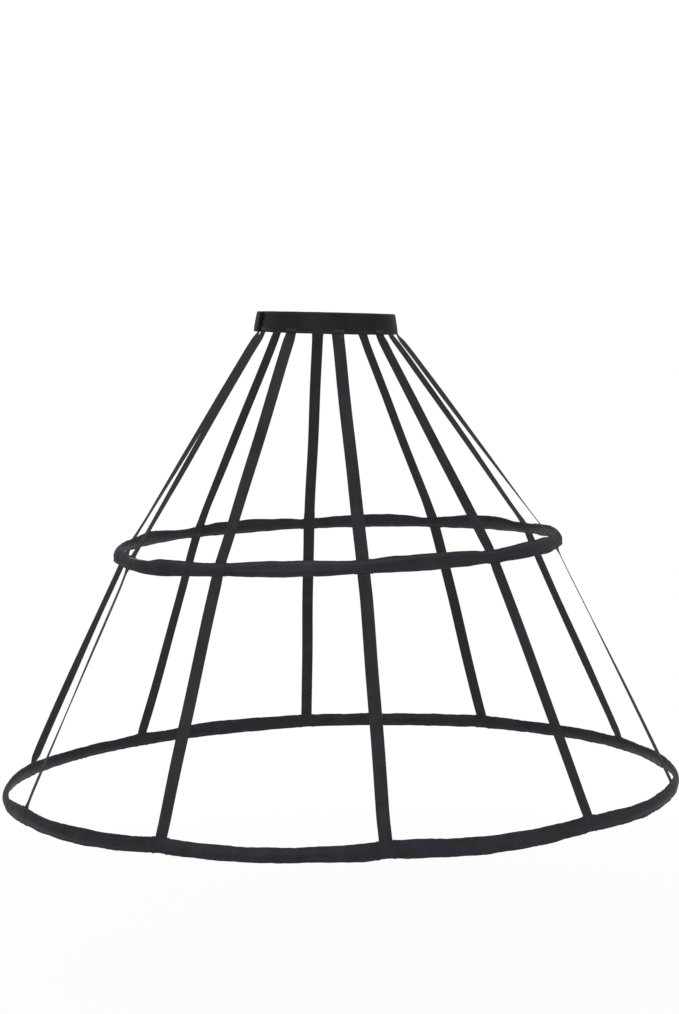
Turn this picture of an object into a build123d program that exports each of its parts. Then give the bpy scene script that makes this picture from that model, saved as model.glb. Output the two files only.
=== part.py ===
"""A crinoline cage: an oval waistband, ten tapes hung from it, and two hoops in gathered casings.

Millimetres, +Z up, the wearer's front towards -Y. The origin is the centre of the waistband at
half its height, which is where the cage hangs from. Each tape starts between the two layers of
the folded waistband, crosses the casing of the upper hoop inside it, and ends in the casing of
the lower hoop. Angles are in degrees, anticlockwise from +X seen from above.
"""

import os
from math import cos, degrees, pi, radians, sin, sqrt

from build123d import *

# Waistband: a wide ribbon folded in two, fold at the top, its ends lapped at the wearer's back
WAIST_HALF_WIDTH = 121.0    # side to side, to the middle of the band at half its height
WAIST_HALF_DEPTH = 100.0    # front to back, as above
BAND_HEIGHT = 30.0
BAND_LEAN = 10.0            # flare outwards towards the lower edge
BAND_DIP = 2.9              # how much lower the front hangs than the back, as an angle
BAND_PLY = 0.8              # one layer of the folded ribbon
LAP_LENGTH = 32.0           # how far the outer end lies over the inner one
LAP_RAMP = 18.0             # length over which the outer end steps out
LAP_TIP_GAP = 1.0           # from the start of the lap to the tip of the inner end

# Hook-and-loop closure inside the lap
PATCH_LENGTH = 26.0
PATCH_HEIGHT = 20.0
PATCH_THICKNESS = 0.9

# Tapes, evenly spaced round the waistband; on the hoops they stand wider apart in front and behind
TAPE_BEARINGS = (19.0, 54.0, 90.0, 125.0, 157.0, 199.5, 234.0, 270.0, 304.5, 336.5)  # from the back
TAPE_COUNT = len(TAPE_BEARINGS)
TAPE_WIDTH = 17.0
TAPE_THICKNESS = 0.8
TAPE_TUCK = 20.0            # length held inside the folded waistband
TAPE_END_INSET = 3.0        # from the end of a tape to the lower edge of the lower casing
TAPE_STATIONS = 8           # along each hanging run, which twists a little on its way down

# Hoops, measured to the middle of their casings
UPPER_RADIUS = 327.5
UPPER_DROP = 327.0          # below the origin
UPPER_FORWARD = 5.5         # from the origin towards the wearer's front
UPPER_DIP = -0.6            # as BAND_DIP; below 0 the front rides up
UPPER_LEAN = 30.0
LOWER_RADIUS = 500.0
LOWER_DROP = 683.0
LOWER_FORWARD = 0.0
LOWER_DIP = 0.0
LOWER_LEAN = 10.0

# Casings: a tube of cloth, drawn in where a tape crosses it and full between the tapes
UPPER_PINCH_HEIGHT = 17.5
UPPER_PUFF_HEIGHT = 23.0
LOWER_PINCH_HEIGHT = 18.0
LOWER_PUFF_HEIGHT = 20.5
PINCH_THICKNESS = 6.6
PUFF_THICKNESS = 8.4
CASING_PLY = 0.8
PUCKER_HEIGHT = 0.5         # of the small puckers along both edges
PUCKERS_PER_PUFF = 3
CASING_STRAY = 0.6          # how far a puff's middle strays up and down
STATIONS_PER_PUFF = 12

# Hoop wire: flat sprung strip, its ends joined in a flat sleeve at the wearer's back
STRIP_WIDTH = 7.0
STRIP_THICKNESS = 1.0
STRIP_END_GAP = 2.0
SLEEVE_LENGTH = 36.0
SLEEVE_WALL = 0.5

# Clearances
SEWN_GAP = 0.2              # between pieces that are sewn face to face
SLEEVE_GAP = 0.15           # between the strip and its sleeve

BACK = 90.0                 # angle of the wearer's back
PARTS_FOLDER = "parts"


def tilted_plane(drop, forward, dip):
    """Plane a drop below the origin and forward of it, dipped towards the wearer's front."""
    return Plane(
        origin=(0, -forward, -drop),
        x_dir=(1, 0, 0),
        z_dir=(0, -sin(radians(dip)), cos(radians(dip))),
    )


def spoke(plane, angle):
    """Unit vector from a plane's origin towards an angle."""
    return plane.x_dir * cos(radians(angle)) + plane.y_dir * sin(radians(angle))


def section_plane(centre, outward, upward, lean, off=0.0, rise=0.0):
    """Plane across a leaning band: X through its thickness, outwards, and Y up its height.

    off and rise move its origin along those two directions.
    """
    x_dir = outward * cos(radians(lean)) + upward * sin(radians(lean))
    y_dir = upward * cos(radians(lean)) - outward * sin(radians(lean))
    return Plane(centre + x_dir * off + y_dir * rise, x_dir=x_dir, z_dir=x_dir.cross(y_dir))


class Waist:
    """The waistband's oval: an ellipse in a dipped plane, with its own angle from +X."""

    plane = tilted_plane(0, 0, BAND_DIP)
    # A flat tape in a curved fold takes the depth of its own arc as well as its thickness.
    tightest_radius = WAIST_HALF_DEPTH**2 / WAIST_HALF_WIDTH
    channel = TAPE_THICKNESS + TAPE_WIDTH**2 / (8 * tightest_radius) + 2 * SEWN_GAP
    thickness = channel + 2 * BAND_PLY
    # How far the ellipse grows for the closure on the inner end, and for the outer end
    patch_grow = (thickness / 2 + SEWN_GAP + PATCH_THICKNESS / 2) / cos(radians(BAND_LEAN))
    lap_grow = (thickness + 2 * PATCH_THICKNESS + 3 * SEWN_GAP) / cos(radians(BAND_LEAN))
    # Distance once around, by Ramanujan's formula
    reach = 3 * WAIST_HALF_WIDTH + WAIST_HALF_DEPTH
    other_reach = WAIST_HALF_WIDTH + 3 * WAIST_HALF_DEPTH
    length = pi * (3 * (WAIST_HALF_WIDTH + WAIST_HALF_DEPTH) - sqrt(reach * other_reach))

    @staticmethod
    def flat_point(angle, grow=0.0):
        """Point of the ellipse in its own plane."""
        half_x, half_y = WAIST_HALF_WIDTH + grow, WAIST_HALF_DEPTH + grow
        return Vector(half_x * cos(radians(angle)), half_y * sin(radians(angle)), 0)

    @staticmethod
    def angle_at(distance):
        """Angle at a distance along the ellipse, anticlockwise from the back."""
        steps = 400
        angle = BACK
        for _ in range(steps):
            degree = Waist.flat_point(angle + 0.5) - Waist.flat_point(angle - 0.5)
            angle += distance / steps / degree.length
        return angle

    @staticmethod
    def section(angle, grow=0.0, off=0.0, rise=0.0):
        """Plane across the band at an angle."""
        half_x, half_y = WAIST_HALF_WIDTH + grow, WAIST_HALF_DEPTH + grow
        normal = Vector(half_y * cos(radians(angle)), half_x * sin(radians(angle)), 0).normalized()
        plane = Waist.plane
        outward = plane.x_dir * normal.X + plane.y_dir * normal.Y
        centre = plane.from_local_coords(Waist.flat_point(angle, grow))
        return section_plane(centre, outward, plane.z_dir, BAND_LEAN, off, rise)

    @staticmethod
    def bow(angle):
        """Depth of the band's arc across the width of one tape."""
        half_x, half_y = WAIST_HALF_WIDTH, WAIST_HALF_DEPTH
        cube = Vector(half_x * sin(radians(angle)), half_y * cos(radians(angle)), 0).length ** 3
        return TAPE_WIDTH**2 * half_x * half_y / (8 * cube)

    @staticmethod
    def arc(start, end, grow=0.0):
        """Arc of the ellipse, added to the line being built."""
        half_x, half_y = WAIST_HALF_WIDTH + grow, WAIST_HALF_DEPTH + grow
        return EllipticalCenterArc((0, 0), half_x, half_y, start_angle=start, arc_size=end - start)


class Hoop:
    """A hoop's circle in a dipped plane, and the size of its gathered casing at any angle."""

    def __init__(self, radius, plane, lean, pinch_height, puff_height):
        self.radius = radius
        self.plane = plane
        self.axis = Axis(self.plane.origin, self.plane.z_dir)
        self.lean = lean
        self.pinch_height = pinch_height
        self.puff_height = puff_height

    def section(self, angle, off=0.0, rise=0.0):
        """Plane across the casing at an angle."""
        outward = spoke(self.plane, angle)
        centre = self.plane.origin + outward * self.radius
        return section_plane(centre, outward, self.plane.z_dir, self.lean, off, rise)

    def arc(self, length):
        """Angle that a length along the hoop takes."""
        return degrees(length / self.radius)

    def casing_size(self, puff, share):
        """Thickness, height and rise of the casing at a share of the way along one puff."""
        full = sin(pi * share)
        side = (-1) ** puff
        pucker = side * PUCKER_HEIGHT * sin(2 * pi * PUCKERS_PER_PUFF * share)
        height = self.pinch_height + (self.puff_height - self.pinch_height) * full + pucker
        thickness = PINCH_THICKNESS + (PUFF_THICKNESS - PINCH_THICKNESS) * full
        rise = side * CASING_STRAY * sin(2 * pi * share)
        return thickness, height, rise


UPPER_PLANE = tilted_plane(UPPER_DROP, UPPER_FORWARD, UPPER_DIP)
LOWER_PLANE = tilted_plane(LOWER_DROP, LOWER_FORWARD, LOWER_DIP)
UPPER = Hoop(UPPER_RADIUS, UPPER_PLANE, UPPER_LEAN, UPPER_PINCH_HEIGHT, UPPER_PUFF_HEIGHT)
LOWER = Hoop(LOWER_RADIUS, LOWER_PLANE, LOWER_LEAN, LOWER_PINCH_HEIGHT, LOWER_PUFF_HEIGHT)
STRIP_OFF = TAPE_THICKNESS / 2 + SEWN_GAP + STRIP_THICKNESS / 2


def hoop_angle(number, share=0.0):
    """Angle on both hoops of a tape, or of a share of the way on from it to the next tape."""
    bearing = TAPE_BEARINGS[number]
    next_bearing = TAPE_BEARINGS[(number + 1) % TAPE_COUNT]
    return BACK + bearing + (next_bearing - bearing) % 360 * share


def make_waistband():
    """The folded ribbon, swept once around the oval and then stepped out over its own start."""
    half = (LAP_RAMP + LAP_LENGTH) / 2      # the ramp and the lap together are centred on the back
    lap_start = LAP_RAMP - half
    inner_end = Waist.angle_at(lap_start + LAP_TIP_GAP)
    with BuildPart() as band:
        with BuildLine(Waist.plane):
            around = Waist.arc(inner_end, Waist.angle_at(-half) + 360)
            lap = Waist.arc(Waist.angle_at(lap_start), Waist.angle_at(half), Waist.lap_grow)
            Spline(around @ 1, lap @ 0, tangents=(around % 1, lap % 0))
        with BuildSketch(Waist.section(inner_end)):
            outside = Rectangle(Waist.thickness, BAND_HEIGHT)
            fillet(outside.vertices().group_by(Axis.Y)[-1], Waist.thickness * 0.45)
            with Locations((0, -BAND_PLY)):
                Rectangle(Waist.channel, BAND_HEIGHT, mode=Mode.SUBTRACT)
        sweep()
    return band.part


def make_patch(grow):
    """One half of the closure, curved with the lap and centred in it."""
    middle = LAP_RAMP / 2
    start = Waist.angle_at(middle - PATCH_LENGTH / 2)
    end = Waist.angle_at(middle + PATCH_LENGTH / 2)
    with BuildPart() as patch:
        with BuildLine(Waist.plane):
            Waist.arc(start, end, grow)
        with BuildSketch(Waist.section(start, grow)):
            RectangleRounded(PATCH_THICKNESS, PATCH_HEIGHT, PATCH_THICKNESS * 0.3)
        sweep()
    return patch.part


def tape_line(number):
    """Points of a tape's middle line, each with the direction of the tape's width there."""
    waist_angle = Waist.angle_at((number + 0.5) * Waist.length / TAPE_COUNT)
    inset = -Waist.bow(waist_angle) / 2
    lower_edge = -BAND_HEIGHT / 2
    angle = hoop_angle(number)
    corners = [
        Waist.section(waist_angle, off=inset, rise=lower_edge + TAPE_TUCK),
        Waist.section(waist_angle, off=inset, rise=lower_edge),
        UPPER.section(angle, rise=UPPER_PINCH_HEIGHT / 2),
        UPPER.section(angle, rise=-UPPER_PINCH_HEIGHT / 2),
        LOWER.section(angle, rise=LOWER_PINCH_HEIGHT / 2),
        LOWER.section(angle, rise=-LOWER_PINCH_HEIGHT / 2 + TAPE_END_INSET),
    ]
    held, hanging = 1, TAPE_STATIONS
    line = []
    for before, after, steps in zip(corners, corners[1:], (held, hanging, held, hanging, held)):
        for share in (step / steps for step in range(steps)):
            place = before.origin * (1 - share) + after.origin * share
            line.append((place, before.z_dir * (1 - share) + after.z_dir * share))
    return line + [(corners[-1].origin, corners[-1].z_dir)]


def make_tape(number, clearance=0.0):
    """A flat tape, mitred where it bends. With a clearance it is the slot the tape runs in."""
    line = tape_line(number)
    last = len(line) - 1
    runs = [(line[index + 1][0] - line[index][0]).normalized() for index in range(last)]
    end_shift = {0: -clearance, last: clearance}
    with BuildPart() as tape:
        for index, (place, across) in enumerate(line):
            after = runs[min(index, last - 1)]
            along = (runs[max(index - 1, 0)] + after).normalized()
            thickness = (TAPE_THICKNESS + 2 * clearance) / along.dot(after)
            centre = place + along * end_shift.get(index, 0.0)
            with BuildSketch(Plane(centre, x_dir=across, z_dir=along)):
                Rectangle(TAPE_WIDTH + 2 * clearance, thickness)
        loft(ruled=True)
    return tape.part


def casing_body(hoop, inset):
    """The gathered tube as one solid, from pinch to pinch, its surface moved in by an inset."""
    with BuildPart() as body:
        for puff in range(TAPE_COUNT):
            for station in range(STATIONS_PER_PUFF + 1):
                share = station / STATIONS_PER_PUFF
                thickness, height, rise = hoop.casing_size(puff, share)
                angle = hoop_angle(puff, share)
                with BuildSketch(hoop.section(angle, rise=rise)):
                    Ellipse(thickness / 2 - inset, height / 2 - inset)
            loft()
    return body.part


def make_casing(hoop, slots):
    """Hollow casing with a slot through it for each tape."""
    with BuildPart() as casing:
        add(casing_body(hoop, 0))
        add(casing_body(hoop, CASING_PLY), mode=Mode.SUBTRACT)
        for slot in slots:
            add(slot, mode=Mode.SUBTRACT)
    return casing.part


def make_strip(hoop):
    """Sprung strip, a ring that is open by a small gap at the back."""
    gap = hoop.arc(STRIP_END_GAP)
    with BuildPart() as strip:
        with BuildSketch(hoop.section(BACK + gap / 2, off=STRIP_OFF)):
            RectangleRounded(STRIP_THICKNESS, STRIP_WIDTH, STRIP_THICKNESS * 0.35)
        revolve(axis=hoop.axis, revolution_arc=360 - gap)
    return strip.part


def make_sleeve(hoop):
    """Flat sleeve over both ends of the strip."""
    length = hoop.arc(SLEEVE_LENGTH)
    bore_thickness = STRIP_THICKNESS + 2 * SLEEVE_GAP
    bore_width = STRIP_WIDTH + 2 * SLEEVE_GAP
    with BuildPart() as sleeve:
        with BuildSketch(hoop.section(BACK - length / 2, off=STRIP_OFF)):
            RectangleRounded(
                bore_thickness + 2 * SLEEVE_WALL, bore_width + 2 * SLEEVE_WALL, SLEEVE_WALL
            )
            Rectangle(bore_thickness, bore_width, mode=Mode.SUBTRACT)
        revolve(axis=hoop.axis, revolution_arc=length)
    return sleeve.part


def save(name, part):
    """Write one piece under its own name."""
    part.label = name
    export_step(part, f"{PARTS_FOLDER}/{name}.step")


os.makedirs(PARTS_FOLDER, exist_ok=True)
save("waistband", make_waistband())
save("closure_hook_tape", make_patch(Waist.patch_grow))
save("closure_loop_tape", make_patch(Waist.lap_grow - Waist.patch_grow))
for number in range(TAPE_COUNT):
    save(f"tape_{number + 1:02d}", make_tape(number))
tape_slots = [make_tape(number, SEWN_GAP) for number in range(TAPE_COUNT)]
for name, hoop in (("upper_hoop", UPPER), ("lower_hoop", LOWER)):
    save(f"{name}_casing", make_casing(hoop, tape_slots))
    save(f"{name}_strip", make_strip(hoop))
    save(f"{name}_sleeve", make_sleeve(hoop))
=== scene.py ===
"""A black ribbon crinoline cage: waistband, ten tapes and two gathered hoop casings.

Metres, +Z up, the wearer's front towards -Y, the origin at the middle of the waistband. Each ribbon is a
surface worked out from two numbers, one along the ribbon and one across it. Angles are anticlockwise from +X
seen from above, in radians unless a name says degrees.
"""

from functools import partial

import bpy
import numpy as np
from mathutils import Matrix


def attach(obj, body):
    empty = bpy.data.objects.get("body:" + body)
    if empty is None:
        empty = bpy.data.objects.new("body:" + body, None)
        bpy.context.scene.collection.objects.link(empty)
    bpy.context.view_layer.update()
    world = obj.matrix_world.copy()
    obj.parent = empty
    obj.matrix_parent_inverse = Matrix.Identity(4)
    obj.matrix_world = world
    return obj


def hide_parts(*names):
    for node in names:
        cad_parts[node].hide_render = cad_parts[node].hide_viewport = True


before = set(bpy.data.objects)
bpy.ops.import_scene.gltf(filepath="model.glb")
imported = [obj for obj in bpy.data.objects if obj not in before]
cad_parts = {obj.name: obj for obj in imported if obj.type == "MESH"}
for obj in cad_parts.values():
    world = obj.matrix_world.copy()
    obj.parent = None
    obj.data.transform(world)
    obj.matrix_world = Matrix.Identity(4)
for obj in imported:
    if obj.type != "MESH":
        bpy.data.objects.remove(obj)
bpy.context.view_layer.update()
rng = np.random.default_rng(11)

MM = 0.001
FULL_TURN = 2 * np.pi
BACK = np.pi / 2             # angle of the wearer's back
RING_STEPS = 4000            # steps in one turn of a ring, for lengths along it

# Waistband
WAIST_HALF_WIDTH = 121 * MM
WAIST_HALF_DEPTH = 100 * MM
BAND_HEIGHT = 30 * MM
BAND_LEAN = np.radians(10)
BAND_DIP = np.radians(2.9)
BAND_THICKNESS = 3.24 * MM
BAND_PLY = 0.8 * MM
LAP_LENGTH = 32 * MM
LAP_RAMP = 18 * MM
LAP_REACH = (LAP_RAMP + LAP_LENGTH) / 2    # from the back to the ramp's start, and to the lap's outer tip
LAP_TIP_GAP = 1 * MM
LAP_STEP_OUT = 5.73 * MM
TIP_PRESSED = 3.5 * MM       # length of the outer end that is pressed in past the closure
TIP_PRESS = 2 * MM
BAND_COLUMNS = 420
TIP_COLUMNS = 9

# Tapes, evenly spaced round the waistband
TAPE_COUNT = 10
TAPE_WIDTH = 18 * MM
TAPE_THICKNESS = 0.62 * MM
TAPE_TUCK = 20 * MM
TAPE_END_INSET = 3 * MM
TAPE_STEP = 0.5 * MM         # between the points of its line
TAPE_ROUNDING = 5 * MM       # either way, of the mean that rounds its bends
TAPE_COLUMN_STEPS = 7        # steps of its line from one column of its surface to the next
SWAY_SETTLE = 40 * MM        # over which its sway dies out before the band and each casing
TWIST_SETTLE = 14 * MM       # as above, of its twist
TWIST_MEAN = 10              # steps either way that the twist is a mean over
# How far each tape is turned about its own line, in degrees, where it hangs: at three places above the upper
# hoop, and at three below it. TWIST_PLACES are shares of the way down, with the two ends added.
TWIST_PLACES = np.array([0, 0.3, 0.6, 0.88, 1])
UPPER_TWISTS = (
    (-10, -8, 3), (-14, -10, 0), (-4, -3, 3), (9, 8, 5), (16, 5, -10),
    (-8, -3, 4), (8, 7, 5), (-15, -16, -14), (4, 4, -5), (14, 9, -2),
)
LOWER_TWISTS = (
    (13, 19, 12), (-6, -9, -3), (0, 3, 3), (4, 4, 3), (-12, -4, 0),
    (-9, -15, -8), (-4, -5, -2), (-4, -2, -5), (-1, 2, 4), (13, 22, 22),
)

# Casing cloth
CASING_PLY = 0.55 * MM
FLANGE_HALF = 0.75 * MM      # half the thickness of the two plies sewn together along each edge
FLANGE_DEPTH = 2.6 * MM
PINCH_THICKNESS = 6.6 * MM
PUFF_THICKNESS = 8.4 * MM
SLOT_HALF = 0.55 * MM        # half the thickness of the slot that a tape runs through
SLOT_REACH = TAPE_WIDTH / 2 + 0.4 * MM     # half its length
SLOT_BLEND = 2.6 * MM        # beside the slot, over which the two plies come together again
SLOT_CLEAR = 3 * MM          # beside the slot, with columns closer together
SLOT_COLUMNS = 8
CLEAR_COLUMNS = 4
PUFF_COLUMNS = 176


def unit(vectors):
    """Each vector divided by its own length."""
    return vectors / np.linalg.norm(vectors, axis=-1, keepdims=True)


def smooth(share):
    """0 below 0, 1 above 1, and 3s^2 - 2s^3 between."""
    share = np.clip(share, 0, 1)
    return share * share * (3 - 2 * share)


def bell(distance, width):
    """1 at distance 0, falling as exp(-(distance / width)^2)."""
    return np.exp(-((distance / width) ** 2))


def between(place, start, end, settle):
    """1 between two places along a line, and smoothly down to 0 at each over a settling length."""
    return smooth((place - start) / settle) * smooth((end - place) / settle)


def both_ways(shares):
    """Shares from 1 down, then 0, then the same shares below 0, down to -1."""
    return np.concatenate([shares, [0], -np.array(shares)[::-1]])


def ripple(t, pitch_angle, count, seed):
    """Uneven wave round a ring, from -1 to 1.

    It is a sum of a count of sines, each with a whole number of turns near one pitch and its own phase.
    """
    draw = np.random.default_rng(seed)
    turns = np.round(FULL_TURN / pitch_angle * draw.uniform(0.6, 1.5, count))
    phases = draw.uniform(0, FULL_TURN, count)
    flat = np.asarray(t).ravel()
    wave = sum(np.sin(turn * flat + phase) for turn, phase in zip(turns, phases))
    return (wave / np.sqrt(count) / 1.6).clip(-1, 1).reshape(np.shape(t))


class Ring:
    """An ellipse in a plane that dips towards the front, with a section that leans outwards below.

    half_x and half_y are its half axes. Its centre is a drop below the origin and forward of it. At an angle
    t its point is (half_x cos t, half_y sin t) in the dipped plane. In its section, out runs through the
    ribbon's thickness and up along its height: out = outward cos(lean) + axis sin(lean), up = axis cos(lean)
    - outward sin(lean).
    """

    def __init__(self, half_x, half_y, drop, forward, dip, lean):
        self.half = np.array([half_x, half_y])
        self.centre = np.array([0, -forward, -drop])
        self.x = np.array([1.0, 0, 0])
        self.y = np.array([0, np.cos(dip), np.sin(dip)])
        self.axis = np.array([0, -np.sin(dip), np.cos(dip)])
        self.lean = lean
        self.turns = np.linspace(BACK - FULL_TURN, BACK + FULL_TURN, 2 * RING_STEPS + 1)
        steps = np.linalg.norm(np.diff(self.place(self.turns), axis=0), axis=1)
        run = np.concatenate([[0], np.cumsum(steps)])
        self.run = run - run[RING_STEPS]
        self.length = run[RING_STEPS]

    def place(self, t, grow=0.0):
        """Points of the ellipse, or of one whose half axes are grown."""
        t, grow = np.broadcast_arrays(t, grow)
        x = ((self.half[0] + grow) * np.cos(t))[..., None] * self.x
        y = ((self.half[1] + grow) * np.sin(t))[..., None] * self.y
        return self.centre + x + y

    def section(self, t, grow=0.0):
        """Centre, out, up and along directions of the section at each angle."""
        t, grow = np.broadcast_arrays(t, grow)
        x = ((self.half[1] + grow) * np.cos(t))[..., None] * self.x
        y = ((self.half[0] + grow) * np.sin(t))[..., None] * self.y
        outward = unit(x + y)
        out = outward * np.cos(self.lean) + self.axis * np.sin(self.lean)
        up = self.axis * np.cos(self.lean) - outward * np.sin(self.lean)
        return self.place(t, grow), out, up, np.cross(out, up)

    def angles_at(self, distances):
        """Angle at each distance along the ellipse, anticlockwise from the back, from a summed arc length."""
        return np.interp(distances, self.run, self.turns)

    def distances_at(self, t):
        """Distance along the ellipse from the back to each angle, within one turn."""
        return np.interp((t - BACK) % FULL_TURN + BACK, self.turns, self.run)


class Hoop(Ring):
    """A round ring and the cloth on it.

    bearings are the places of the tapes, in degrees from the wearer's back. tape_height is the height that a
    tape runs straight over. held_height is the casing's height where a tape crosses it, and puff_heights
    halfway to the next tape. The casing's middle lies at tape_lifts above the ring at the tapes, and at
    puff_lifts halfway to the next tape. Each dent has its angle and half width in degrees, and how far the
    upper and the lower edge stand out there. Each bunch has its angle and half width in degrees, and the
    depth that it adds to the gathers. nicks is the depth of the small steps along the edges. puff_heights,
    the lifts, the dents and the bunches are in millimetres.
    """

    def __init__(self, radius, drop, forward, dip, lean):
        super().__init__(radius, radius, drop, forward, dip, lean)
        self.radius = radius

    def dress(
        self,
        bearings,
        tape_height,
        held_height,
        puff_heights,
        tape_lifts,
        puff_lifts,
        dents,
        bunches,
        nicks,
        seed,
    ):
        self.tape_angles = BACK + np.radians(bearings)
        self.tape_height = tape_height
        self.held_height = held_height
        self.puff_heights = np.array(puff_heights) * MM
        self.tape_lifts = np.array(tape_lifts) * MM
        self.puff_lifts = np.array(puff_lifts) * MM
        self.dents = dents
        self.bunches = bunches
        self.nicks = nicks
        self.seed = seed
        return self

    def puff_place(self, t):
        """Number of the puff that each angle lies in, the puff's angle, and the angle from its first tape.

        Puff k reaches from tape k to the next tape, the last one to the first tape.
        """
        on = (t - self.tape_angles[0]) % FULL_TURN
        starts = self.tape_angles - self.tape_angles[0]
        puff = np.searchsorted(starts, on, side="right") - 1
        spans = np.diff(np.append(starts, FULL_TURN))
        return puff, spans[puff], on - starts[puff]

    def near_angle(self, t, degrees, half_width):
        """1 at an angle, falling as a bell of a half width, both in degrees."""
        off = (t - np.radians(degrees) + np.pi) % FULL_TURN - np.pi
        return bell(off, np.radians(half_width))

    def wave(self, t, pitch, count, seed):
        """The uneven wave of ripple, with its pitch as a length along the hoop."""
        return ripple(t, pitch / self.radius, count, self.seed + seed)

    def gathers(self, t, pitch, seed):
        """Rounded ridges between sharp valleys, |sin|^0.7 of an unevenly stretched phase: about -1 to 1."""
        phase = np.round(np.pi / (pitch / self.radius)) * t
        phase = phase + 2.4 * self.wave(t, 6 * pitch, 9, seed) + 1.2 * self.wave(t, 2.3 * pitch, 9, seed + 1)
        size = 0.55 + 0.45 * self.wave(t, 3.7 * pitch, 9, seed + 2)
        return (np.abs(np.sin(phase)) ** 0.7 * 2 - 1.2) * size

    def edge_line(self, t, seed):
        """How far one edge of the casing strays: slow waves, smaller ones, and small nicks in a few places.

        The nicks are a wave times the square of the positive part of a slower one.
        """
        slow = 0.55 * MM * self.wave(t, 75 * MM, 11, seed)
        small = 0.6 * self.nicks * self.wave(t, 19 * MM, 14, seed + 1)
        where = np.clip(self.wave(t, 60 * MM, 9, seed + 2), 0, 1) ** 2
        return slow + small + 2.2 * self.nicks * where * self.wave(t, 13 * MM, 14, seed + 3)

    def middle(self, puff, full, share):
        """Height of the casing's middle above the ring.

        It goes evenly from one tape's lift to the next one's as share goes from 0 to 1, and over to the
        puff's own lift as full goes from 0 to 1.
        """
        first = self.tape_lifts[puff]
        last = self.tape_lifts[(puff + 1) % TAPE_COUNT]
        return (first + (last - first) * share) * (1 - full) + self.puff_lifts[puff] * full


WAIST = Ring(WAIST_HALF_WIDTH, WAIST_HALF_DEPTH, 0, 0, BAND_DIP, BAND_LEAN)
UPPER = Hoop(327.5 * MM, 327 * MM, 5.5 * MM, np.radians(-0.6), np.radians(30)).dress(
    bearings=(18, 53, 89, 124, 156, 200.5, 235, 271, 305.5, 337.5),
    tape_height=17.5 * MM,
    held_height=18 * MM,
    puff_heights=(23.5, 24.5, 25, 23.5, 24, 27, 25, 26, 24.5, 24),
    tape_lifts=(-4.0, -1.9, -1.2, -2.7, -2.0, -6.5, -5.6, -2.3, -1.0, 0.5),
    puff_lifts=(-3.0, -0.2, 0.3, -1.3, -0.5, -2.0, -1.0, 0.8, 0.8, 0.0),
    dents=(
        (115, 4, -7, -0.5), (119, 8, 0, 2.5), (44, 5, -4, -1), (59, 5, 3.5, 0), (64, 3, 0, 2.5),
        (31, 4, 2.5, 0), (12, 5, -1.8, 0), (184, 5, 2.2, 0), (240, 5, 1.2, 1.2), (276, 8, -2.5, 0),
        (284, 5, 0, 3), (287, 2.5, -2, -1), (294, 3, -2.5, 0), (327, 3, -2.5, 0), (4, 3, -1.5, 0),
    ),
    bunches=((257, 11, 1.5), (98, 12, 1.2), (118, 10, 0.5), (185, 60, 0.15), (20, 20, 0.3)),
    nicks=0.15 * MM,
    seed=100,
)
LOWER = Hoop(500 * MM, 683 * MM, 0, 0, np.radians(10)).dress(
    bearings=(19, 54.1, 89.7, 125.4, 157, 200, 234.4, 269.5, 304, 337),
    tape_height=18 * MM,
    held_height=21.5 * MM,
    puff_heights=(21, 20.5, 24, 19.5, 20, 20, 21.5, 24.5, 19.5, 20.5),
    tape_lifts=(2.5, 3.5, 2.0, 0.8, -1.5, -2.0, 1.2, 0.7, -2.0, -0.6),
    puff_lifts=(-1.5, -2.2, -3.3, -3.1, -3.6, -1.7, -0.3, -0.3, -3.0, -1.0),
    dents=(
        (28, 4, -4, 0), (40, 4, -1.5, 0), (96, 3, -3, 0), (108, 5, 1.5, 1.2), (127, 7, 2, 0),
        (176, 4, 0, 2.5), (185, 6, 2.6, 0), (222, 7, 1.3, 0), (232, 8, 0, 1.2), (275, 6, 0, 3),
        (282, 5, -1.8, 0), (294, 3, -1.5, 0),
    ),
    bunches=((96, 8, 0.8), (262, 8, 0.8), (180, 60, 0.2)),
    nicks=0.35 * MM,
    seed=200,
)
TAPE_DISTANCES = (np.arange(TAPE_COUNT) + 0.5) * WAIST.length / TAPE_COUNT


def make_piece(name, points, faces, uvs, material):
    """Mesh object from an array of points, a list of face arrays and one (u, v) for each face corner."""
    mesh = bpy.data.meshes.new(name)
    sizes = np.concatenate([np.full(len(block), block.shape[1]) for block in faces])
    corners = np.concatenate([block.ravel() for block in faces])
    mesh.vertices.add(len(points))
    mesh.vertices.foreach_set("co", np.asarray(points, np.float32).ravel())
    mesh.loops.add(len(corners))
    mesh.loops.foreach_set("vertex_index", corners.astype(np.int32))
    mesh.polygons.add(len(sizes))
    starts = np.concatenate([[0], np.cumsum(sizes)[:-1]])
    mesh.polygons.foreach_set("loop_start", starts.astype(np.int32))
    mesh.polygons.foreach_set("loop_total", sizes.astype(np.int32))
    mesh.polygons.foreach_set("use_smooth", np.ones(len(sizes), bool))
    layer = mesh.uv_layers.new(name="ribbon")
    layer.uv.foreach_set("vector", np.concatenate([block.reshape(-1, 2) for block in uvs]).ravel())
    mesh.materials.append(material)
    mesh.update()
    mesh.validate()
    piece = bpy.data.objects.new(name, mesh)
    bpy.context.scene.collection.objects.link(piece)
    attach(piece, "root")
    return piece


def grid(columns, rows, wrap_columns=False):
    """Quads round a closed section, and the column and row each starts at.

    Point (column, row) is numbered column * rows + row. The quads face outwards where the columns go
    anticlockwise and the rows go down the outer side first.
    """
    i = np.arange(columns if wrap_columns else columns - 1)
    i, j = (lines.ravel() for lines in np.meshgrid(i, np.arange(rows), indexing="ij"))
    i2, j2 = (i + 1) % columns, (j + 1) % rows
    return np.stack([i * rows + j, i * rows + j2, i2 * rows + j2, i2 * rows + j], axis=-1), i, j


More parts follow.
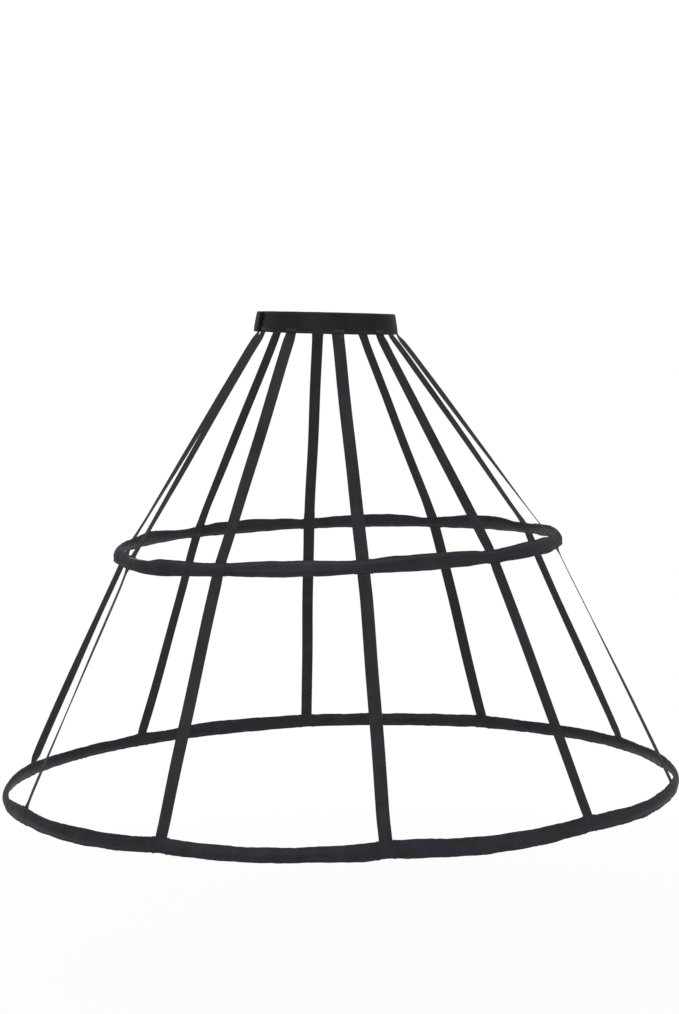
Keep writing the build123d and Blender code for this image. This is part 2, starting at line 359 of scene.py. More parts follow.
def grid_uv(i, j, along, across):
    """Corner (u, v) of each quad. along and across have one value for each grid line, the last included."""
    u = np.stack([along[i], along[i], along[i + 1], along[i + 1]], axis=-1)
    v = np.stack([across[j], across[j + 1], across[j + 1], across[j]], axis=-1)
    return np.stack([u, v], axis=-1)


def end_caps(columns, rows):
    """Quads over both ends of a swept section whose row r lies opposite row rows - 1 - r."""
    r = np.arange(rows // 2 - 1)
    first = np.stack([r + 1, r, rows - 1 - r, rows - 2 - r], axis=-1)
    return np.concatenate([first, first[:, ::-1] + (columns - 1) * rows])


def swept_piece(name, points, along, across, material):
    """Closed piece from points[column, row], with the rows going round its section."""
    columns, rows = points.shape[:2]
    quads, i, j = grid(columns, rows)
    caps = end_caps(columns, rows)
    caps_uv = np.stack([along[caps // rows], across[caps % rows]], axis=-1)
    uvs = [grid_uv(i, j, along, across), caps_uv]
    return make_piece(name, points.reshape(-1, 3), [quads, caps], uvs, material)


# Finishes


class Shade:
    """A number socket in a finish. Arithmetic on it adds Math nodes."""

    def __init__(self, finish, socket):
        self.finish = finish
        self.socket = socket

    def __add__(self, other):
        return self.finish.math("ADD", self, other)

    def __mul__(self, other):
        return self.finish.math("MULTIPLY", self, other)

    def __sub__(self, other):
        return self.finish.math("SUBTRACT", self, other)

    def __rsub__(self, other):
        return self.finish.math("SUBTRACT", other, self)

    __radd__ = __add__
    __rmul__ = __mul__


class Finish:
    """The shader nodes of a material or of the world, while they are made."""

    def __init__(self, owner):
        self.owner = owner
        owner.use_nodes = True
        self.tree = owner.node_tree
        self.tree.nodes.clear()

    def add(self, kind, settings=None, inputs=None, output=0):
        """Makes any node: its settings first, then the values or links of its inputs. Gives one output."""
        node = self.tree.nodes.new(kind)
        for name, value in (settings or {}).items():
            setattr(node, name, value)
        for name, value in (inputs or {}).items():
            if isinstance(value, Shade):
                self.tree.links.new(value.socket, node.inputs[name])
            else:
                node.inputs[name].default_value = value
        return Shade(self, node.outputs[output]) if node.outputs else None

    def math(self, operation, first, second):
        """One sum on two numbers."""
        return self.add("ShaderNodeMath", {"operation": operation}, {0: first, 1: second})

    def mix(self, factor, first, second):
        """Colour between two colours. The node numbers its colour inputs 6 and 7, and their mix 2."""
        inputs = {0: factor, 6: first, 7: second}
        return self.add("ShaderNodeMix", {"data_type": "RGBA"}, inputs, 2)

    def step(self, value, low, high):
        """Smooth step from 0 at low to 1 at high."""
        inputs = {"Value": value, "From Min": low, "From Max": high}
        return self.add("ShaderNodeMapRange", {"interpolation_type": "SMOOTHSTEP"}, inputs)

    def noise(self, vector, scale, detail=2.0, roughness=0.5):
        """Noise from 0 to 1 on a vector."""
        inputs = {"Vector": vector, "Scale": scale, "Detail": detail, "Roughness": roughness}
        return self.add("ShaderNodeTexNoise", {}, inputs)

    def object_place(self):
        """Place in the piece's own frame, in metres."""
        return self.add("ShaderNodeTexCoord", {}, {}, "Object")

    def ribbon_place(self):
        """The two numbers of a ribbon's own map, in metres: along it and across it."""
        place = self.add("ShaderNodeUVMap", {"uv_map": "ribbon"})
        return [self.add("ShaderNodeSeparateXYZ", {}, {"Vector": place}, axis) for axis in ("X", "Y")]

    def vector(self, x, y):
        """Vector from two numbers."""
        return self.add("ShaderNodeCombineXYZ", {}, {"X": x, "Y": y})

    def surface(self, colour, roughness, height, bump, fixed):
        """Ends the material in one Principled shader with a bump. height is in metres."""
        normal = self.add("ShaderNodeBump", {}, {"Strength": bump, "Distance": 1.0, "Height": height})
        inputs = {"Base Color": colour, "Roughness": roughness, "Normal": normal, **fixed}
        shader = self.add("ShaderNodeBsdfPrincipled", {}, inputs)
        self.add("ShaderNodeOutputMaterial", {}, {"Surface": shader})
        return self.owner


def new_finish(name):
    """The nodes of a new material."""
    return Finish(bpy.data.materials.new(name))


def satin(name, dark, light, shine, warp, crinkle):
    """Satin ribbon: fine threads along it, ribs across them, soft streaks, specks and small creases.

    dark and light are the two ends of its colour, shine is how much it mirrors, warp the height of its
    threads and crinkle the height of its creases, which run across the ribbon.
    """
    finish = new_finish(name)
    along, across = finish.ribbon_place()
    streaks = finish.noise(finish.vector(along * 9.0, across * 1700.0), 1.0, 3.0, 0.6)
    threads = finish.noise(finish.vector(along * 160.0, across * 5200.0), 1.0, 1.0)
    picks = finish.noise(finish.vector(along * 4600.0, across * 900.0), 1.0, 1.0)
    place = finish.object_place()
    specks = finish.noise(place, 900.0, 2.0, 0.6)
    clouds = finish.noise(place, 38.0, 3.0, 0.55)
    creases = finish.noise(finish.vector(along * 420.0, across * 60.0), 1.0, 3.0, 0.55)
    shade = 0.42 * streaks + 0.3 * specks + 0.28 * clouds
    colour = finish.mix(finish.step(shade, 0.34, 0.66), dark, light)
    roughness = 0.4 + 0.16 * streaks + 0.14 * clouds
    height = warp * threads + 0.5 * warp * picks + crinkle * creases
    fixed = {
        "Sheen Weight": 0.01,
        "Sheen Roughness": 0.4,
        "Sheen Tint": (0.75, 0.75, 0.85, 1),
        "Specular IOR Level": shine,
    }
    return finish.surface(colour, roughness, height, 1.0, fixed)


def thread_finish(name, dark, light):
    """Twisted sewing thread: fine slanting plies and a slight glint."""
    finish = new_finish(name)
    plies = finish.noise(finish.object_place(), 4200.0, 1.0)
    colour = finish.mix(finish.step(plies, 0.35, 0.65), dark, light)
    return finish.surface(colour, 0.45 + 0.2 * plies, 0.05 * MM * plies, 1.0, {"Sheen Weight": 0.15})


def steel_finish():
    """Blued spring steel: fine scratches and cloudy patches of wear."""
    finish = new_finish("spring steel")
    place = finish.object_place()
    clouds = finish.noise(place, 45.0, 4.0, 0.6)
    scratches = finish.noise(place, 1500.0, 2.0, 0.7)
    colour = finish.mix(finish.step(clouds, 0.35, 0.65), (0.16, 0.17, 0.2, 1), (0.34, 0.35, 0.37, 1))
    roughness = 0.24 + 0.2 * clouds + 0.1 * scratches
    return finish.surface(colour, roughness, 0.01 * MM * scratches, 0.6, {"Metallic": 1.0})


def fuzz_finish():
    """Hook-and-loop tape: rows of tiny hooks or loops over a dark woven ground."""
    finish = new_finish("hook and loop")
    place = finish.object_place()
    cells = finish.add("ShaderNodeTexVoronoi", {}, {"Vector": place, "Scale": 750.0})
    fluff = finish.noise(place, 2600.0, 3.0, 0.7)
    raised = 1.0 - finish.step(cells, 0.1, 0.6)
    colour = finish.mix(raised * fluff, (0.008, 0.008, 0.009, 1), (0.05, 0.05, 0.055, 1))
    return finish.surface(colour, 0.75 + 0.15 * fluff, 0.3 * MM * raised, 1.0, {"Sheen Weight": 0.3})


BAND_SATIN = satin(
    "waistband satin",
    dark=(0.0035, 0.0032, 0.004, 1),
    light=(0.0115, 0.0105, 0.0125, 1),
    shine=0.12,
    warp=0.03 * MM,
    crinkle=0.04 * MM,
)
TAPE_SATIN = satin(
    "tape satin",
    dark=(0.0085, 0.0082, 0.01, 1),
    light=(0.0235, 0.0225, 0.0275, 1),
    shine=0.12,
    warp=0.03 * MM,
    crinkle=0.02 * MM,
)
CASING_SATIN = satin(
    "casing satin",
    dark=(0.003, 0.003, 0.005, 1),
    light=(0.0185, 0.018, 0.0265, 1),
    shine=0.18,
    warp=0.03 * MM,
    crinkle=0.12 * MM,
)
SEAM_THREAD = thread_finish("seam thread", (0.006, 0.006, 0.007, 1), (0.026, 0.026, 0.03, 1))
# Painted glint: the tacks are black thread like the seams, and their lighter colour stands in for the glint
# on that thread.
TACK_THREAD_PAINTED_GLINT = thread_finish("tack thread with painted glint", (0.03, 0.03, 0.034, 1), (0.12, 0.12, 0.13, 1))

# Waistband

# Rows of each side, from the lower edge up to the fold
BAND_RISES = np.array([-15.0, -14.7, -14.0, -12.6, -10.5, -7, -3, 1, 5, 9, 12]) * MM
FOLD_TURN = np.linspace(0, np.pi, 9)


def over_a_tape(t, blur):
    """1 on the part of the waistband that lies over a tape, 0 elsewhere."""
    step = WAIST.length / TAPE_COUNT
    off = np.abs(WAIST.distances_at(t) % step - step / 2)
    return smooth((TAPE_WIDTH / 2 + blur - off) / blur)


def band_grow(t):
    """How far the waistband's line stands outside the ellipse.

    It is 0 all round, with a smooth step out at the lap. The tip is pressed back in past the closure.
    """
    marks = [-LAP_REACH, LAP_RAMP - LAP_REACH, LAP_REACH - TIP_PRESSED, LAP_REACH]
    start, end, closed, tip = WAIST.angles_at(marks) + FULL_TURN
    step_out = LAP_STEP_OUT * smooth((t - start) / (end - start))
    return step_out - TIP_PRESS * smooth((t - closed) / (tip - closed))


def above_edge(rise, reach):
    """0 at the waistband's lower edge, going smoothly to 1 at a reach above it."""
    return smooth((rise + BAND_HEIGHT / 2) / reach)


def band_gap(t, rise):
    """Half the space between the two plies: wide at half height, pressed shut along the stitched edge."""
    edge = 0.1 * MM + 0.42 * MM * over_a_tape(t, 4 * MM)
    return edge + (BAND_THICKNESS / 2 - BAND_PLY - edge) * above_edge(rise, 9 * MM)


def band_face(t, rise, side, lift=0.0):
    """Point and outward direction of the waistband's outer or inner side, side being 1 or -1.

    It is the ellipse's section at that rise, out by half the gap and one ply, with faint long waves.
    """
    t, rise = np.broadcast_arrays(t, rise)
    centre, out, up, _ = WAIST.section(t, band_grow(t))
    low = 1 - above_edge(rise, 14 * MM)
    wave = 0.22 * MM * ripple(t, 0.5, 7, 3) + 0.16 * MM * low * ripple(t, 0.07, 9, 4)
    off = side * (band_gap(t, rise) + BAND_PLY + lift) + wave
    level = rise * (1 + 0.008 * ripple(t, 0.4, 6, 5))
    return centre + out * off[..., None] + up * level[..., None], out * side


def band_fold(top, reach, up, height):
    """Half an ellipse over the top, from top + reach to top - reach."""
    around = reach[:, None] * np.cos(FOLD_TURN)[None, :, None]
    return top[:, None] + around + up[:, None] * (height * np.sin(FOLD_TURN))[None, :, None]


def make_waistband():
    """The folded ribbon: a U section carried round the oval and out over its own start."""
    first = WAIST.angles_at(LAP_RAMP - LAP_REACH + LAP_TIP_GAP)
    closed, last = WAIST.angles_at([LAP_REACH - TIP_PRESSED, LAP_REACH]) + FULL_TURN
    body = np.linspace(first, closed, BAND_COLUMNS, endpoint=False)
    t = np.concatenate([body, np.linspace(closed, last, TIP_COLUMNS)])
    up = WAIST.section(t, band_grow(t))[2]
    sides = [
        band_face(t[:, None], BAND_RISES[None], side, lift)[0]
        for side, lift in ((1, 0), (-1, 0), (1, -BAND_PLY), (-1, -BAND_PLY))
    ]
    outer, inner, outer_ply, inner_ply = sides
    top = (outer[:, -1] + inner[:, -1]) / 2
    fold_height = BAND_HEIGHT / 2 - BAND_RISES[-1]
    fold = band_fold(top, (outer[:, -1] - inner[:, -1]) / 2, up, fold_height)
    fold_ply = band_fold(top, (outer_ply[:, -1] - inner_ply[:, -1]) / 2, up, fold_height - BAND_PLY)
    outside = np.concatenate([outer, fold[:, 1:-1], inner[:, ::-1]], axis=1)
    inside = np.concatenate([outer_ply, fold_ply[:, 1:-1], inner_ply[:, ::-1]], axis=1)
    width = np.concatenate([[0], np.cumsum(np.linalg.norm(np.diff(outside[0], axis=0), axis=1))])
    across = np.concatenate([width[::-1], width, [width[-1]]])
    piece = swept_piece(
        "waistband_ribbon",
        np.concatenate([outside[:, ::-1], inside], axis=1),
        WAIST.length * (t - BACK) / FULL_TURN,
        across,
        BAND_SATIN,
    )
    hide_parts("waistband")


# Tapes

TAPE_SHARES = both_ways([1, 0.985, 0.95, 0.9, 0.84, 0.6, 0.3])


def tape_line(number):
    """Points down the middle of a tape, its width direction and the run at each, and the run at each corner.

    The line goes straight from corner to corner, and each point is then a mean over the line either side of
    it, so that the bends are round.
    """
    waist_t = WAIST.angles_at(TAPE_DISTANCES[number])
    upper_t, lower_t = UPPER.tape_angles[number], LOWER.tape_angles[number]
    corners, widths = [], []
    for ring, t, rise in (
        (WAIST, waist_t, -BAND_HEIGHT / 2 + TAPE_TUCK),
        (WAIST, waist_t, -BAND_HEIGHT / 2),
        (UPPER, upper_t, UPPER.tape_height / 2),
        (UPPER, upper_t, -UPPER.tape_height / 2),
        (LOWER, lower_t, LOWER.tape_height / 2),
        (LOWER, lower_t, -LOWER.tape_height / 2 + TAPE_END_INSET),
    ):
        centre, _, up, along = ring.section(np.float64(t))
        corners.append(centre + up * rise)
        widths.append(along)
    corners, widths = np.array(corners), np.array(widths)
    run = np.concatenate([[0], np.cumsum(np.linalg.norm(np.diff(corners, axis=0), axis=1))])
    fine = np.arange(0, run[-1], TAPE_STEP)
    near = np.clip(fine[:, None] + np.linspace(-TAPE_ROUNDING, TAPE_ROUNDING, 11), 0, run[-1])
    place = np.stack([np.interp(near, run, corners[:, k]).mean(axis=1) for k in range(3)], axis=-1)
    width = np.stack([np.interp(fine, run, widths[:, k]) for k in range(3)], axis=-1)
    return place, unit(width), fine, run


def make_tape(number):
    """A flat satin tape with a slightly thicker selvedge, a faint bow across it and its own twist.

    Across it, w runs from 1 to -1. The middle surface stands bow * w^2 off the line, and the thickness is
    the same all over apart from a bead along each selvedge. The twist goes from one listed angle to the next.
    It dies out before the band and each casing, and so does the tape's sway sideways and out and in.
    """
    place, width, fine, run = tape_line(number)
    spans = ((run[1], run[2], UPPER_TWISTS[number]), (run[3], run[4], LOWER_TWISTS[number]))
    hang = sum(between(fine, start, end, SWAY_SETTLE) for start, end, _ in spans)
    phase = rng.uniform(0, FULL_TURN, 4)
    sway = 0.55 * MM * np.sin(fine / (95 * MM) + phase[0]) + 0.3 * MM * np.sin(fine / (33 * MM) + phase[1])
    billow = 0.9 * MM * np.sin(fine / (120 * MM) + phase[2])
    twist = np.radians(1.5) * np.sin(fine / (140 * MM) + phase[3]) * hang
    for start, end, (first, middle, last) in spans:
        share = (fine - start) / (end - start)
        degrees = np.interp(share, TWIST_PLACES, (first, first, middle, last, last))
        twist = twist + np.radians(degrees) * between(fine, start, end, TWIST_SETTLE)
    count = 2 * TWIST_MEAN + 1
    twist = np.convolve(np.pad(twist, TWIST_MEAN, mode="edge"), np.full(count, 1 / count), mode="valid")
    out = unit(np.cross(width, -np.gradient(place, axis=0)))
    place = place + width * (sway * hang)[:, None] + out * (billow * hang)[:, None]
    turned = width * np.cos(twist)[:, None] + out * np.sin(twist)[:, None]
    out = unit(np.cross(turned, -np.gradient(place, axis=0)))
    picked = np.unique(np.append(np.arange(0, len(fine), TAPE_COLUMN_STEPS), len(fine) - 1))
    place, turned, out, fine = place[picked], turned[picked], out[picked], fine[picked]
    w = TAPE_SHARES
    bead = np.where(np.abs(w) > 0.99, 0.35, 0.82 + 0.3 * bell(np.abs(w) - 0.95, 0.05))
    half = TAPE_THICKNESS / 2 * bead
    bow = 0.22 * MM * np.sin(fine / (70 * MM) + phase[1])[:, None] * w[None] ** 2
    middle = place[:, None] + turned[:, None] * (w * TAPE_WIDTH / 2)[None, :, None]
    outer = middle + out[:, None] * (bow + half)[..., None]
    inner = middle + out[:, None] * (bow - half)[..., None]
    across = np.concatenate([w, w[::-1], [w[0]]]) * TAPE_WIDTH / 2
    name = f"tape_{number + 1:02d}"
    points = np.concatenate([outer, inner[:, ::-1]], axis=1)
    along = fine + number    # a metre further on for each tape, so that no two look alike
    piece = swept_piece(name + "_ribbon", points, along, across, TAPE_SATIN)
    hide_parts(name)


# Gathered casings

OUTER_SHARES = both_ways([1, 0.985, 0.95, 0.9, 0.83, 0.74, 0.62, 0.48, 0.33, 0.17])
INNER_SHARES = both_ways([1, 0.75, 0.4])


def casing_edge(hoop, t, share, near, on_tape):
    """How far each edge stands out: its own line, calmer at a tape, a flare beside each slot, and dents."""
    edge = np.where(share > 0, hoop.edge_line(t, 10), hoop.edge_line(t, 20))
    edge = edge * (1 - 0.6 * on_tape) + 0.8 * MM * bell(near - SLOT_REACH - 1.5 * MM, 2.2 * MM)
    for degrees, width, above, below in hoop.dents:
        edge = edge + np.where(share > 0, above, below) * MM * hoop.near_angle(t, degrees, width)
    return edge


def casing_folds(hoop, t, rise, side, inwards, on_tape):
    """How far the gathers of one ply stand out.

    Large and small ridges slant over the height. They are deeper in the bunches and shallower at a tape, and
    they fade towards the stitched edges.
    """
    slanted = t + rise * (0.5 + 1.1 * hoop.wave(t, 90 * MM, 7, 6)) / hoop.radius
    seed = 30 if side > 0 else 60
    ridges = hoop.gathers(slanted, 11 * MM, seed) + 0.5 * hoop.gathers(slanted, 4.6 * MM, seed + 8)
    drawn = 0.3 + 0.25 * hoop.wave(t, 110 * MM, 7, 7)
    for degrees, width, extra in hoop.bunches:
        drawn = drawn + extra * hoop.near_angle(t, degrees, width)
    depth = MM * drawn * (0.5 + 0.5 * inwards**2) * smooth((1 - inwards) / 0.3) * (1 - 0.5 * on_tape)
    return depth * ridges


def casing_face(hoop, t, share, side, lift=0.0):
    """Point and outward direction of a casing's skin at a share of its half height, side being 1 or -1.

    The section is a lens, (1 - inwards^2.3)^0.75, between two flat stitched edges, where inwards goes from 0
    at half height to 1 at the stitches. Its height, thickness and rise follow a half sine from tape to tape.
    The plies part round a tape, which shows through them. A ruffle carries both to and fro near the edges.
    """
    t, share = np.broadcast_arrays(t, share)
    reach = np.abs(share)
    puff, span, past = hoop.puff_place(t)
    near = np.minimum(past, span - past) * hoop.radius
    full = np.sin(np.pi * past / span)
    on_tape = smooth((SLOT_REACH + SLOT_BLEND - near) / SLOT_BLEND)
    height = hoop.held_height + (hoop.puff_heights[puff] - hoop.held_height) * full
    half = height / 2 + casing_edge(hoop, t, share, near, on_tape) * reach**3
    sewn = 1 - FLANGE_DEPTH / half
    inwards = np.clip(reach / sewn, 0, 1)
    lens = (1 - inwards**2.3) ** 0.75
    thick = PINCH_THICKNESS + (PUFF_THICKNESS - PINCH_THICKNESS) * full
    flange = FLANGE_HALF + (SLOT_HALF + CASING_PLY - FLANGE_HALF) * on_tape
    folds = casing_folds(hoop, t, share * half, side, inwards, on_tape)
    body = flange + (thick / 2 - flange) * lens + folds
    rim = np.clip((1 - reach) / 0.05, 0, 1)
    body = body * (0.62 + 0.38 * np.sqrt(rim * (2 - rim)))
    imprint = 0.35 * smooth((SLOT_REACH - near) / (1.2 * MM))
    imprint = imprint - 0.25 * bell(near - SLOT_REACH - 0.8 * MM, 1.2 * MM)
    body = body + imprint * MM * lens
    ruffle = 0.45 * MM * np.sign(share) * hoop.wave(t + 0.3 * np.sign(share), 34 * MM, 12, 40)
    ruffle = ruffle * smooth((reach - 0.45) / 0.55) * (1 - on_tape)
    centre, out, up, _ = hoop.section(t)
    off = side * (body + lift) + ruffle
    rise = share * half + hoop.middle(puff, full, past / span)
    return centre + out * off[..., None] + up * rise[..., None], out * side


def casing_columns(hoop):
    """Angles of the columns round a casing, closer together by each slot, and which of them lie on a slot."""
    starts = hoop.tape_angles
    ends = np.append(starts[1:], starts[0] + FULL_TURN)
    slot = SLOT_REACH / hoop.radius
    clear = (SLOT_REACH + SLOT_CLEAR) / hoop.radius
    marks = [starts, starts + slot, starts + clear, ends - clear, ends - slot, ends]
    rest = PUFF_COLUMNS - 2 * (SLOT_COLUMNS + CLEAR_COLUMNS)
    counts = [SLOT_COLUMNS, CLEAR_COLUMNS, rest, CLEAR_COLUMNS, SLOT_COLUMNS]
    runs = [np.linspace(a, b, n, endpoint=False) for a, b, n in zip(marks, marks[1:], counts)]
    t = np.concatenate(runs).T.ravel()
    _, span, past = hoop.puff_place(t)
    return t, (np.minimum(past, span - past) < slot + 1e-6)


def edge_rows(rows, upper):
    """Rows of a skin along one edge, on its outer and its inner ply, and the row its closing quads start at.

    A skin's rows go down its outer ply and up its inner one.
    """
    if upper:
        return (0, rows - 1), rows - 1
    return (rows // 2 - 1, rows // 2), rows // 2 - 1


def slot_lining(on_slot, outer_rows, inner_rows, rows, rows_in):
    """Quads that join the outer skin to the inner one all round each slot along one edge of a casing.

    outer_rows and inner_rows are the rows of each skin along that edge, on its outer and its inner ply.
    """
    base = len(on_slot) * rows
    here = np.flatnonzero(on_slot & np.roll(on_slot, -1))
    after = (here + 1) % len(on_slot)
    quads = []
    for outer_row, inner_row, one, other in (
        (outer_rows[0], inner_rows[0], here, after),
        (outer_rows[1], inner_rows[1], after, here),
    ):
        outer = outer_row + rows * np.stack([other, one], axis=-1)
        inner = inner_row + base + rows_in * np.stack([one, other], axis=-1)
        quads.append(np.concatenate([outer, inner], axis=-1))
    wall = np.array([outer_rows[1], outer_rows[0], inner_rows[0] + base, inner_rows[1] + base])
    stride = np.array([rows, rows, rows_in, rows_in])
    last = np.flatnonzero(on_slot & ~np.roll(on_slot, -1))[:, None]
    first = np.flatnonzero(on_slot & ~np.roll(on_slot, 1))[:, None]
    return np.concatenate([*quads, last * stride + wall, (first * stride + wall)[:, ::-1]])


def make_casing(name, hoop, slots_below):
    """Hollow tube of cloth: an outer and an inner skin, joined round the slots that the tapes run through."""
    t, on_slot = casing_columns(hoop)
    sewn = 1 - FLANGE_DEPTH / (hoop.held_height / 2)
    skins = [
        [casing_face(hoop, t[:, None], shares[None, ::side], side, lift)[0] for side in (1, -1)]
        for shares, lift in ((OUTER_SHARES, 0.0), (sewn * INNER_SHARES, -CASING_PLY))
    ]
    points = np.concatenate([np.concatenate(plies, axis=1).reshape(-1, 3) for plies in skins])
    rows, rows_in = 2 * len(OUTER_SHARES), 2 * len(INNER_SHARES)
    quads, i, j = grid(len(t), rows, wrap_columns=True)
    quads_in, i_in, j_in = grid(len(t), rows_in, wrap_columns=True)
    open_edge = on_slot & np.roll(on_slot, -1)
    keep, keep_in = np.ones(len(quads), bool), np.ones(len(quads_in), bool)
    linings = []
    for upper in (True, False) if slots_below else (True,):
        plies, closing = edge_rows(rows, upper)
        plies_in, closing_in = edge_rows(rows_in, upper)
        keep &= ~(open_edge[i] & (j == closing))
        keep_in &= ~(open_edge[i_in] & (j_in == closing_in))
        lining = slot_lining(on_slot, plies, plies_in, rows, rows_in)
        linings.append(lining if upper else lining[:, ::-1])
    linings = np.concatenate(linings)
    along = np.append(t, t[0] + FULL_TURN) * hoop.radius
    half = np.mean(hoop.puff_heights) / 2
    across = [
        np.concatenate([shares * half, -2 * half - shares[::-1] * half, [half]])
        for shares in (OUTER_SHARES, INNER_SHARES)
    ]
    uvs = [
        grid_uv(i[keep], j[keep], along, across[0]),
        grid_uv(i_in[keep_in], j_in[keep_in], along, across[1])[:, ::-1],
        np.zeros((len(linings), 4, 2)),
    ]
    faces = [quads[keep], quads_in[keep_in][:, ::-1] + len(t) * rows, linings]
    piece = make_piece(name + "_casing_cloth", points, faces, uvs, CASING_SATIN)
    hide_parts(name + "_casing")


# Stitches

SEAM_PITCH = 3.1 * MM
SEAM_STITCH = 2.4 * MM
SEAM_LEVEL = -12.4 * MM
TACK_LEVELS = (-11.4 * MM, -9.6 * MM)
BOX_INSET = 3 * MM           # from each end of the lap to the box stitched on it
BOX_HEIGHT = 21 * MM
CASING_PITCH = 3.9 * MM
CASING_SEAM_SHARE = 0.86     # of a casing's half height
STITCH_SIDES = 5


def make_stitches(name, rows, length, radius, material):
    """Raised stitches, in rows of their centres, directions and normals.

    Each is a bowed tube that dips into the cloth at both ends. Along it, s runs from -1 to 1. Its middle
    stands radius * (0.5 - 1.6 s^2) off the cloth, and its girth is radius * sqrt(1 - 0.75 s^2).
    """
    centre, along, normal = (np.concatenate(arrays) for arrays in zip(*rows))
    s = np.array([-1, -0.55, 0, 0.55, 1])
    turn = np.arange(STITCH_SIDES) * FULL_TURN / STITCH_SIDES
    along = unit(along)
    side = unit(np.cross(along, normal))
    spine = centre[:, None] + along[:, None] * (s * length / 2)[:, None]
    spine = spine + normal[:, None] * (radius * (0.5 - 1.6 * s**2))[:, None]
    spokes = side[:, None] * np.cos(turn)[:, None] + normal[:, None] * np.sin(turn)[:, None]
    girth = radius * np.sqrt(1 - 0.75 * s**2)
    points = spine[:, :, None] + spokes[:, None] * girth[:, None, None]
    count, rings, corners = points.shape[:3]
    tube = grid(rings, corners)[0][:, ::-1]
    ends = np.stack([np.arange(corners), np.arange(corners)[::-1] + (rings - 1) * corners])
    shift = (np.arange(count) * rings * corners)[:, None, None]
    quads = (tube + shift).reshape(-1, 4)
    caps = (ends + shift).reshape(-1, corners)
    uvs = [np.stack([faces // corners % rings, faces % corners], axis=-1) * MM for faces in (quads, caps)]
    make_piece(name, points.reshape(-1, 3), [quads, caps], uvs, material)


def evenly(length, pitch):
    """Middles of the stitches in a row of a given length."""
    count = max(int(round(length / pitch)), 1)
    return (np.arange(count) + 0.5) * length / count


def surface_stitches(face, t, rise, ahead):
    """Centres, directions and normals of stitches on a face at (t, rise), each pointing to a step ahead."""
    t, rise = np.broadcast_arrays(t, rise)
    centre, normal = face(t, rise)
    before, _ = face(t - ahead[0], rise - ahead[1])
    after, _ = face(t + ahead[0], rise + ahead[1])
    return centre, after - before, normal


def stitch_band():
    """A row along the waistband's lower edge outside, tacks over each tape, and a stitched box on the lap."""
    outside = partial(band_face, side=1)
    step = 1.4 * MM / np.mean(WAIST.half)
    run = evenly(WAIST.length, SEAM_PITCH)
    t = WAIST.angles_at(run[run < WAIST.length - LAP_REACH + LAP_RAMP])
    t = t[t > WAIST.angles_at(LAP_REACH + 1 * MM)]
    seam = surface_stitches(outside, t, SEAM_LEVEL, (step, 0.0))
    make_stitches("waistband_seam", [seam], SEAM_STITCH, 0.24 * MM, SEAM_THREAD)

    across = evenly(TAPE_WIDTH - 1.5 * MM, 1.35 * MM) - TAPE_WIDTH / 2 + 0.75 * MM
    t = WAIST.angles_at((TAPE_DISTANCES[:, None] + across[None]).ravel())
    tacks = [surface_stitches(outside, t, level, (step * 0.25, 0.4 * MM)) for level in TACK_LEVELS]
    make_stitches("tape_head_tacks", tacks, 1.5 * MM, 0.27 * MM, TACK_THREAD_PAINTED_GLINT)

    length = LAP_LENGTH - 2 * BOX_INSET
    start = LAP_RAMP - LAP_REACH + BOX_INSET
    across, upright = evenly(length, SEAM_PITCH), evenly(BOX_HEIGHT, SEAM_PITCH)
    t = WAIST.angles_at(start + np.tile(across, 2)) + FULL_TURN
    rise = np.repeat([BOX_HEIGHT / 2, -BOX_HEIGHT / 2], len(across))
    box = [surface_stitches(outside, t, rise, (step, 0.0))]
    t = WAIST.angles_at(np.repeat([start, start + length], len(upright))) + FULL_TURN
    rise = np.tile(upright - BOX_HEIGHT / 2, 2)
    box.append(surface_stitches(outside, t, rise, (0.0, 1.2 * MM)))
    make_stitches("closure_box_seam", box, SEAM_STITCH, 0.22 * MM, SEAM_THREAD)


def stitch_casing(name, hoop):
    """Rows of stitches just inside both edges of a casing, on the outside and the inside."""
    t = hoop.tape_angles[0] + evenly(FULL_TURN, CASING_PITCH / hoop.radius)
    ahead = (1.2 * MM / hoop.radius, 0.0)
    rows = [
        surface_stitches(partial(casing_face, hoop, side=side), t, share, ahead)
        for side in (1, -1)
        for share in (CASING_SEAM_SHARE, -CASING_SEAM_SHARE)
    ]
    make_stitches(name + "_casing_seams", rows, 2.7 * MM, 0.2 * MM, SEAM_THREAD)


make_waistband()
for tape_number in range(TAPE_COUNT):
    make_tape(tape_number)
make_casing("upper_hoop", UPPER, slots_below=True)
make_casing("lower_hoop", LOWER, slots_below=False)
stitch_band()
stitch_casing("upper_hoop", UPPER)
stitch_casing("lower_hoop", LOWER)

STEEL = steel_finish()
FUZZ = fuzz_finish()
for node, finish in (
    ("upper_hoop_strip", STEEL),
    ("lower_hoop_strip", STEEL),
    ("upper_hoop_sleeve", STEEL),
    ("lower_hoop_sleeve", STEEL),
    ("closure_hook_tape", FUZZ),
    ("closure_loop_tape", FUZZ),
):
    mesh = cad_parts[node].data
    mesh.materials.clear()
    mesh.materials.append(finish)

# Camera, floor and light

PHOTO_HEIGHT = 1014          # pixels
FOCAL_LENGTH = 2507.9        # pixels
SENSOR = 36                  # millimetres
CAMERA_PLACE = (0.0098, -3.721, 0.0618)    # before it is carried round the cage
CAMERA_BEARING = -97         # degrees that it is carried round the cage
CAMERA_DOWN = 5.16           # degrees that it looks down
CAMERA_ROLL = -1.61
CAGE_MIDDLE = (0, 0, -0.35)

FLOOR_HEIGHT = -1.03
FLOOR_SIDES = 96
FLOOR_RINGS = np.array([0.6, 2.5, 30])
WHITE = (1, 1, 1, 1)
FLOOR_COLOUR = (0.9, 0.9, 0.9, 1)
ROOM_COLOUR = (0.55, 0.55, 0.56, 1)


